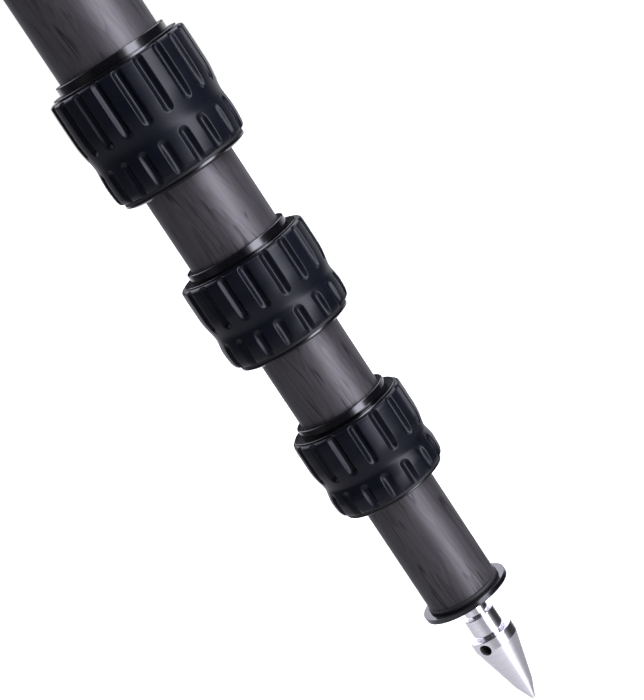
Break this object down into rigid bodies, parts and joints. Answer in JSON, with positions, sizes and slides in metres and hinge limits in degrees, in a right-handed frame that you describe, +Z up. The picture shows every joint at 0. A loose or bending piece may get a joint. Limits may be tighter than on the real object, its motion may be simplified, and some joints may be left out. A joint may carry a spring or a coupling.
{
  "type": "telescopic camera tripod leg",
  "caption": "Telescopic carbon tripod leg with grooved rubber twist locks, hinge knuckle with angle latch and a steel spike foot.",
  "frame": {"origin": "centre of the pivot bore at the leg's hinge end", "axes": "+X along the pivot bore, -Y the outer side of the leg, +Z up the leg"},
  "size_m": [0.055, 0.0551, 0.5874],
  "materials": {
    "carbon_tube": "satin",
    "anodised_black": "gloss",
    "grip_rubber": "satin",
    "seal_rubber": "matt",
    "collet_polymer": "satin",
    "shim_polymer": "satin",
    "bush_polymer": "satin",
    "pin_steel": "satin",
    "insert_steel": "satin",
    "spike_steel": "polished"
  },
  "bodies": {
    "upper_section": {"hinge_knuckle": "anodised_black", "pivot_bush_left": "bush_polymer", "pivot_bush_right": "bush_polymer", "latch_pin": "pin_steel", "latch_spring": "pin_steel", "tube_1": "carbon_tube", "ferrule_1": "anodised_black", "collet_1": "collet_polymer"},
    "angle_latch": {"angle_latch": "anodised_black"},
    "lock_1": {"twist_collar_1": "anodised_black", "grip_1": "grip_rubber", "dust_seal_1": "seal_rubber"},
    "section_2": {"tube_2": "carbon_tube", "guide_shims_2": "shim_polymer", "ferrule_2": "anodised_black", "collet_2": "collet_polymer"},
    "lock_2": {"twist_collar_2": "anodised_black", "grip_2": "grip_rubber", "dust_seal_2": "seal_rubber"},
    "section_3": {"tube_3": "carbon_tube", "guide_shims_3": "shim_polymer", "ferrule_3": "anodised_black", "collet_3": "collet_polymer"},
    "lock_3": {"twist_collar_3": "anodised_black", "grip_3": "grip_rubber", "dust_seal_3": "seal_rubber"},
    "section_4": {"tube_4": "carbon_tube", "guide_shims_4": "shim_polymer", "foot_plug": "anodised_black", "thread_insert": "insert_steel"},
    "spike": {"spike": "spike_steel"}
  },
  "joints": [
    {"name": "angle_latch_pull", "type": "slide", "parent": "upper_section", "child": "angle_latch", "axis": [0, -1, 0], "range_m": [0, 0.005], "stiffness_N_per_m": 600, "springref_m": -0.004, "deforming": ["latch_spring"]},
    {"name": "lock_1_twist", "type": "hinge", "parent": "upper_section", "child": "lock_1", "pos_m": [0, 0, -0.314], "axis": [0, 0, -1], "range_deg": [0, 120]},
    {"name": "section_2_slide", "type": "slide", "parent": "upper_section", "child": "section_2", "axis": [0, 0, -1], "range_m": [-0.0296, 0.2012]},
    {"name": "lock_2_twist", "type": "hinge", "parent": "section_2", "child": "lock_2", "pos_m": [0, 0, -0.389], "axis": [0, 0, -1], "range_deg": [0, 120]},
    {"name": "section_3_slide", "type": "slide", "parent": "section_2", "child": "section_3", "axis": [0, 0, -1], "range_m": [-0.028, 0.2497]},
    {"name": "lock_3_twist", "type": "hinge", "parent": "section_3", "child": "lock_3", "pos_m": [0, 0, -0.457], "axis": [0, 0, -1], "range_deg": [0, 120]},
    {"name": "section_4_slide", "type": "slide", "parent": "section_3", "child": "section_4", "axis": [0, 0, -1], "range_m": [-0.0452, 0.2703]},
    {"name": "spike_turn", "type": "hinge", "parent": "section_4", "child": "spike", "pos_m": [0, 0, -0.53], "axis": [0, 0, -1], "continuous": true}
  ]
}
